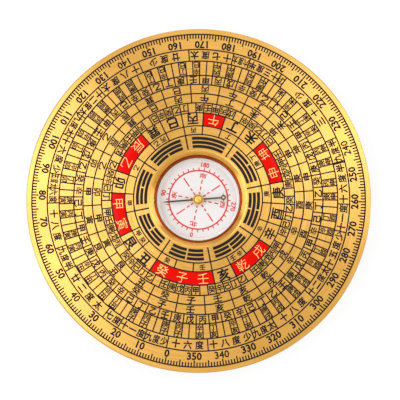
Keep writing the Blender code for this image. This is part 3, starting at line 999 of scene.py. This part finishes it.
def counting_rings():
    """The rings of 120, 60, 24, 24 and 72 cells between the scale and the red panels."""
    dividers = cell_edges(CELLS_60_OUT, PAIRS_OUT, 120)
    dividers += cell_edges(SECOND_24_OUT, CELLS_60_OUT, 60, CELLS_60_START)
    dividers += cell_edges(CELLS_72_OUT, SECOND_24_OUT, 24, 0.0)
    dividers += cell_edges(PRINTED_CIRCLES[1], CELLS_72_OUT, 72)
    black_marks(dividers, "ring_dividers")
    pairs = []
    for k in range(24):
        branch = k // 2
        stems = ("丙", "庚") if branch % 2 == 0 else ("丁", "辛")
        for stem, side in zip(stems, (-PAIR_SIDE, PAIR_SIDE)):
            pairs.append((BRANCHES[branch], *PAIR_BRANCH, SIGN_SPAN * k + side))
            pairs.append((stem, *PAIR_STEM, SIGN_SPAN * k + side))
    black_signs(pairs, "signs_120_ring")
    count = stem_count()
    sixty = [(sign, *CELL_60_SIGN, CELLS_60_START + 6 * (k + 0.5)) for k, sign in enumerate(count)]
    black_signs(sixty, "signs_60_ring")
    directions = []
    for k, sign in enumerate(DIRECTIONS):
        directions.append((sign, *SECOND_24_SIGN, SIGN_SPAN * k + SIGN_SPAN / 2))
        directions.append((sign, *FIRST_24_SIGN, SIGN_SPAN * k - SIGN_SPAN / 2))
    black_signs(directions, "signs_24_rings")
    cells = []
    for k, sign in enumerate(count):
        # one cell of every six stays empty
        cells.append((sign, *CELL_72_SIGN, SIGNS_72_START + 30 * (k // 5) + 5 * (k % 5)))
    black_signs(cells, "signs_72_ring")


def direction_ring():
    """The 24 large signs: black on the brass, and raised in brass out of the red panels."""
    on_red = []
    on_brass = []
    for k, sign in enumerate(DIRECTIONS):
        angle = SIGN_SPAN * k
        (on_red if on_panel(angle) else on_brass).append((sign, *DIRECTION_SIGN, angle))
    black_signs(on_brass, "direction_signs")
    raised = sign_stamps(on_red, RAISED_WEIGHTS)
    painted(raised, "raised_signs", RAISED_BRASS, PLATE_TOP, POCKET_DEPTH - SEAT_GAP)
    edges = cell_edges(*PRINTED_CIRCLES, 24)
    black_marks([edge for edge in edges if not on_panel(edge[-1])], "direction_dividers")


def inner_rings():
    """The ring of small signs inside the large ones, and the lines between the trigrams."""
    dividers = cell_edges(TRIGRAMS_OUT, PRINTED_CIRCLES[0], 24)
    for k in range(len(TRIGRAMS)):
        dividers.append((BETWEEN_START, TRIGRAMS_OUT, BETWEEN_WIDTH, TRIGRAM_SPAN * (k + 0.5)))
    black_marks(dividers, "inner_dividers")
    places = []
    for angle, text in ((45, "甲癸"), (135, "丙乙"), (225, "庚丁"), (315, "壬辛")):
        for sign, side in zip(text, (INNER_PAIR_SIDE, -INNER_PAIR_SIDE)):
            places.append((sign, *INNER_SIGN, angle + side))
    for angle in (15, 75, 105, 165, 195, 255, 285, 345):
        places.append((DIRECTIONS[round(angle / SIGN_SPAN)], *INNER_SIGN, angle))
    black_signs(places, "inner_signs")


# Capsule

def cup_corner():
    """The round corner inside the cup, from its wall down to its floor."""
    points = []
    for k in range(CORNER_STEPS + 1):
        angle = math.radians(360 - 90 * k / CORNER_STEPS)
        out = CUP_BORE - CUP_CORNER + CUP_CORNER * math.cos(angle)
        points.append((out, CUP_INSIDE + CUP_CORNER + CUP_CORNER * math.sin(angle)))
    return points


def make_capsule():
    """The white cup, its card and the crystal."""
    cup = [
        (CARD_HOLE, CUP_BOTTOM),
        (CUP_RADIUS - CUP_FOOT_CHAMFER, CUP_BOTTOM),
        (CUP_RADIUS, CUP_BOTTOM + CUP_FOOT_CHAMFER),
        (CUP_RADIUS, CUP_TOP),
        (CUP_BORE + CUP_RIM_CHAMFER, CUP_TOP),
        (CUP_BORE, CUP_TOP - CUP_RIM_CHAMFER),
        *cup_corner(),
        (CARD_HOLE, CUP_INSIDE),
        (CARD_HOLE, CUP_BOTTOM),
    ]
    piece = turned(cup, CAPSULE_SEGMENTS)
    hand_over(piece, "lacquered_cup", WHITE_LACQUER, ["capsule_cup"])
    card = [
        (CARD_HOLE, CARD_BOTTOM),
        (CARD_RADIUS, CARD_BOTTOM),
        (CARD_RADIUS, CARD_TOP - CARD_EDGE),
        (CARD_RADIUS - CARD_EDGE, CARD_TOP),
        (CARD_HOLE, CARD_TOP),
        (CARD_HOLE, CARD_BOTTOM),
    ]
    piece = turned(card, CAPSULE_SEGMENTS)
    hand_over(piece, "printed_dial", COATED_CARD, ["dial_card"])
    glass = [
        (CUP_RADIUS, CRYSTAL_BOTTOM),
        (CUP_RADIUS, CRYSTAL_TOP - CRYSTAL_CHAMFER),
        (CUP_RADIUS - CRYSTAL_CHAMFER, CRYSTAL_TOP),
    ]
    piece = turned(glass, CAPSULE_SEGMENTS)
    hand_over(piece, "crystal_disc", GLASS, ["crystal"])


def print_dial():
    """The red print on the card: a circle with 36 ticks, four figures, four signs and broken rays."""
    top = CARD_TOP + PAINT_RISE
    circle = turned_ring(CARD_CIRCLE * MM, CARD_CIRCLE_WIDTH * MM, top - PRINT_DEPTH, top)
    hand_over(circle, "printed_circle", RED_INK)
    places = [(*CARD_TICK, CARD_TICK_WIDTH, 10 * k) for k in range(36)]
    for k in range(8):
        for dash in SLANTING_RAY if k % 2 else STRAIGHT_RAY:
            places.append((*dash, CARD_RAY_WIDTH, 45 * k))
    red_print(mark_stamps(places), "printed_rays")
    places = []
    for k, (figure, sign) in enumerate((("0", "北"), ("90", "东"), ("180", "南"), ("270", "西"))):
        places.append((figure, *CARD_FIGURE, 90 * k))
        places.append((sign, *CARD_SIGN, 90 * k))
    red_print(sign_stamps(places, turn=180.0), "printed_figures")


def make_wire_ring():
    """The split copper ring: a round section spun about the axis, open by a small gap."""
    half_split = math.degrees(WIRE_SPLIT / WIRE_RADIUS) / 2
    deselect()
    bpy.ops.mesh.primitive_circle_add(vertices=WIRE_SEGMENTS, radius=WIRE_THICK / 2, fill_type="NGON")
    wire = bpy.context.object
    edit_all(wire)
    bpy.ops.transform.rotate(value=math.pi / 2, orient_axis="X", center_override=(0, 0, 0))
    bpy.ops.transform.translate(value=(WIRE_RADIUS, 0, WIRE_MIDDLE))
    turn = math.radians(360 - 2 * half_split)
    bpy.ops.mesh.spin(steps=WIRE_STEPS, angle=turn, center=(0, 0, 0), axis=(0, 0, 1))
    close_edit()
    wire.rotation_euler = (0, 0, math.radians(-90 - WIRE_SPLIT_ANGLE - half_split))
    apply_place(wire)
    hand_over(wire, "lacquered_wire_ring", COPPER, ["wire_ring"])


def make_hub():
    """The crowned cap of the needle, with its brim, its shank through the needle's eye and its flange."""
    crown = [
        (HUB_CROWN_RADIUS * out, BRIM_TOP + (HUB_TOP - BRIM_TOP) * up) for out, up in CROWN_SHARES
    ]
    profile = [
        *crown,
        (HUB_RADIUS - BRIM_ROUND, BRIM_TOP),
        (HUB_RADIUS, BRIM_TOP - BRIM_ROUND),
        (HUB_RADIUS, HUB_SHOULDER + BRIM_ROUND),
        (HUB_RADIUS - BRIM_ROUND, HUB_SHOULDER),
        (HUB_SHANK_RADIUS, HUB_SHOULDER),
        (HUB_SHANK_RADIUS, FLANGE_TOP),
        (EYE_RADIUS, FLANGE_TOP),
        (EYE_RADIUS, HUB_BOTTOM),
        (HUB_BORE_RADIUS, HUB_BOTTOM),
        (HUB_BORE_RADIUS, HUB_BORE_TOP),
    ]
    hub = turned(profile, SMALL_SEGMENTS)
    hand_over(hub, "crowned_hub", BUFFED_BRASS, ["needle_hub"], "needle")


def make_needle():
    """The needle's blank with its stamped edges broken, from its own node's outline."""
    blank = copied(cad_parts["needle"])
    edit_all(blank)
    bpy.ops.mesh.remove_doubles(threshold=MERGE_DISTANCE)
    bpy.ops.mesh.dissolve_limited(angle_limit=math.radians(FLAT_ANGLE))
    bpy.ops.transform.shrink_fatten(value=NEEDLE_BLACKING, use_even_offset=True)
    close_edit()
    modified(blank, "BEVEL", width=NEEDLE_EDGE, segments=2, limit_method="ANGLE")
    hand_over(blank, "bronzed_needle", BRONZE, ["needle"], "needle")


def dress_nodes():
    """The finishes of the CAD pieces that stay as they are."""
    for name, finish in (
        ("crystal_gasket", RUBBER),
        ("pivot_boss", BUFFED_BRASS),
        ("pivot_pin", STEEL),
        ("jewel_bearing", AGATE),
    ):
        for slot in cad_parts[name].material_slots:
            slot.material = finish


# Camera and light

# The picture is turned a little against the plate, whose north mark points down in it
FACE_CENTRE = Vector((0, 0, PLATE_TOP))
PICTURE_ROLL = math.radians(11.2)
PICTURE_RIGHT = Vector((math.cos(PICTURE_ROLL), math.sin(PICTURE_ROLL), 0))
PICTURE_UP = Vector((-math.sin(PICTURE_ROLL), math.cos(PICTURE_ROLL), 0))
CAMERA_DISTANCE = 200 * MM
CAMERA_TILT = math.radians(4.0)
CAMERA_LEAN = math.radians(1.2)
LENS = 72.24
SENSOR = 36.0
SHIFT = (0.0053, -0.0041)
CLIP_START = 10 * MM

# The soft boxes: name, azimuth clockwise from the picture's top and elevation in degrees, width and
# height in metres, watts
SOFT_BOXES = (
    ("upper_left_box", 300, 60, 0.12, 0.12, 0.237),
    ("left_box", 270, 60, 0.12, 0.12, 0.187),
    ("lower_left_box", 240, 60, 0.12, 0.12, 0.249),
    ("upper_right_box", 52, 60, 0.12, 0.12, 0.181),
    ("right_box", 74, 60, 0.12, 0.12, 0.147),
    ("top_box", 10, 55, 0.2, 0.1, 0.108),
    ("bottom_box", 195, 55, 0.2, 0.1, 0.125),
    ("low_left_box", 268, 10, 0.3, 0.1, 0.42),
    ("low_right_box", 75, 10, 0.3, 0.1, 0.42),
    ("low_top_box", 5, 8, 0.3, 0.1, 0.1),
)
BOX_DISTANCE = 0.35
BOX_COLOUR = "#CEDBFF"

# The room's light, and how much of a shadow the white floor shows
WORLD_COLOUR = "#FFFBDA"
WORLD_LEVEL = 0.66
FLOOR_SHADE = 0.15
FLOOR_SIZE = 3.0
FLOOR_DROP = 0.01 * MM


def make_camera():
    """A camera almost straight above, a little towards the picture's lower edge and its right."""
    back = Vector((0, 0, 1)) - PICTURE_UP * math.tan(CAMERA_TILT) + PICTURE_RIGHT * math.tan(CAMERA_LEAN)
    back.normalize()
    up = back.cross(PICTURE_RIGHT).normalized()
    deselect()
    bpy.ops.object.camera_add()
    camera = bpy.context.object
    axes = Matrix((up.cross(back), up, back)).transposed().to_4x4()
    camera.matrix_world = Matrix.Translation(FACE_CENTRE + back * CAMERA_DISTANCE) @ axes
    camera.data.lens = LENS
    camera.data.sensor_width = SENSOR
    camera.data.shift_x, camera.data.shift_y = SHIFT
    camera.data.clip_start = CLIP_START
    bpy.context.scene.camera = camera


def soft_box(name, azimuth, elevation, width, height, watts):
    """A lamp behind a soft box's cloth, which faces the plate."""
    turn = math.radians(azimuth)
    level = PICTURE_UP * math.cos(turn) + PICTURE_RIGHT * math.sin(turn)
    rise = math.radians(elevation)
    way = level * math.cos(rise) + Vector((0, 0, math.sin(rise)))
    bpy.ops.object.light_add(type="AREA")
    lamp = bpy.context.object
    lamp.name = name
    lamp.data.shape = "RECTANGLE"
    lamp.data.size = width
    lamp.data.size_y = height
    lamp.data.energy = watts
    lamp.data.color = linear(BOX_COLOUR)[:3]
    lamp.location = FACE_CENTRE + way * BOX_DISTANCE
    lamp.rotation_euler = way.to_track_quat("Z", "Y").to_euler()


def shown(tree):
    """Whether a ray is one that shows the background: from the camera, a gloss or a glass."""
    path = add_node(tree, "LightPath")
    direct = {0: path["Is Camera Ray"], 1: path["Is Glossy Ray"]}
    seen = add_node(tree, "Math", direct, operation="MAXIMUM")[0]
    through = {0: seen, 1: path["Is Transmission Ray"]}
    return add_node(tree, "Math", through, operation="MAXIMUM")[0]


def make_world():
    """A white room that the camera, metal and glass see at full white. Its light on everything else is
    weaker and a little warm."""
    world = bpy.data.worlds.new("white_room")
    bpy.context.scene.world = world
    world.use_nodes = True
    tree = world.node_tree
    tree.nodes.clear()
    seen = shown(tree)
    level = add_node(tree, "MapRange", {"Value": seen, "To Min": WORLD_LEVEL, "To Max": 1.0})[0]
    tones = {0: seen, 6: linear(WORLD_COLOUR), 7: linear("#FFFFFF")}
    tint = add_node(tree, "Mix", tones, data_type="RGBA")[2]
    room = add_node(tree, "Background", {"Color": tint, "Strength": level})[0]
    add_node(tree, "OutputWorld", {"Surface": room})


def studio_white(tree):
    """Matt white paint that glows in the direct view, and takes only a faint shadow there."""
    paint = {"Base Color": linear("#F6F6F6"), "Roughness": 0.9, "Specular IOR Level": 0.1}
    matt = add_node(tree, "BsdfPrincipled", paint)[0]
    glow = add_node(tree, "Emission", {"Color": linear("#FFFFFF"), "Strength": 1.0})[0]
    reach = {"Value": shown(tree), "To Min": 0.0, "To Max": 1 - FLOOR_SHADE}
    share = add_node(tree, "MapRange", reach)[0]
    return add_node(tree, "MixShader", {0: share, 1: matt, 2: glow})[0]


def make_floor():
    """The white table top under the compass."""
    deselect()
    bpy.ops.mesh.primitive_plane_add(size=FLOOR_SIZE, location=(0, 0, -FLOOR_DROP))
    floor = bpy.context.object
    apply_place(floor)
    floor.name = "table_top"
    floor.data.materials.append(new_finish("white_table_top", studio_white))


def main():
    """Makes every piece, then the floor, the lamps and the camera."""
    bars = trigram_bars()
    panels = panel_areas()
    make_plate(bars, panels)
    make_enamel(bars, panels)
    fill_lines()
    degree_scale()
    uneven_ring()
    counting_rings()
    direction_ring()
    inner_rings()
    make_capsule()
    print_dial()
    make_wire_ring()
    make_hub()
    make_needle()
    dress_nodes()
    for template, _ in templates.values():
        bpy.data.objects.remove(template)
    make_floor()
    make_world()
    for box in SOFT_BOXES:
        soft_box(*box)
    make_camera()
    bpy.context.scene.view_settings.view_transform = "Standard"


main()
bpy.context.view_layer.update()
